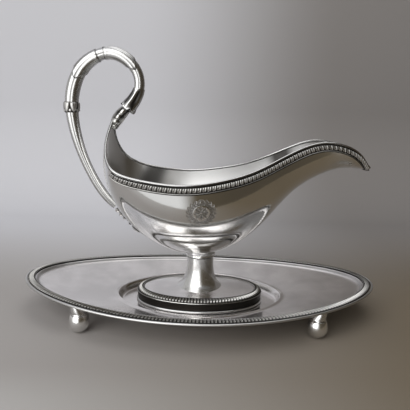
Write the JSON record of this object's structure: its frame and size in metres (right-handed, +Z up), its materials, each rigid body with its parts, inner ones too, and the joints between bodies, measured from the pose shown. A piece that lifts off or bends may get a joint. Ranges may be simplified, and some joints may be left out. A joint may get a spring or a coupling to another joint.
{
  "type": "sauce boat with stand",
  "caption": "Boat-shaped pouring vessel with a long lip, high scroll handle and oval pedestal foot, lifting off a pointed oval tray on ball feet.",
  "frame": {"origin": "on the table, under the middle of the stand", "axes": "+X along the boat towards its pouring lip, +Y across to the far side, +Z up"},
  "size_m": [0.27, 0.152, 0.1963],
  "materials": {
    "polished_silver": "hand-polished silver with fine wear",
    "worn_silver": "silver worn to a soft satin",
    "chased_silver": "chased and cast silver, darkened in its hollows"
  },
  "bodies": {
    "stand": {"stand_tray": "worn_silver", "stand_rim_wire": "polished_silver", "stand_leaf_band": "chased_silver", "ball_foot_front_left": "polished_silver", "ball_neck_front_left": "polished_silver", "ball_foot_front_right": "polished_silver", "ball_neck_front_right": "polished_silver", "ball_foot_back_left": "polished_silver", "ball_neck_back_left": "polished_silver", "ball_foot_back_right": "polished_silver", "ball_neck_back_right": "polished_silver"},
    "sauce_boat": {"foot_wire": "polished_silver", "foot_band": "polished_silver", "foot_leaf_moulding": "chased_silver", "foot_plate": "worn_silver", "stem": "polished_silver", "stem_collar": "polished_silver", "bowl": "polished_silver", "rim_leaf_strip_near": "chased_silver", "rim_leaf_strip_far": "chased_silver", "rim_wire_near": "polished_silver", "rim_wire_far": "polished_silver", "handle_reeds_lower": "polished_silver", "handle_reeds_upper": "polished_silver", "handle_band": "chased_silver", "handle_sheath_inner": "polished_silver", "handle_sheath_outer": "polished_silver", "handle_calyx": "chased_silver", "peak_leaf": "chased_silver", "root_pendant": "chased_silver"}
  },
  "joints": [
    {"name": "boat_lift", "type": "slide", "parent": "stand", "child": "sauce_boat", "axis": [0, 0, 1], "range_m": [0, 0.1]}
  ]
}
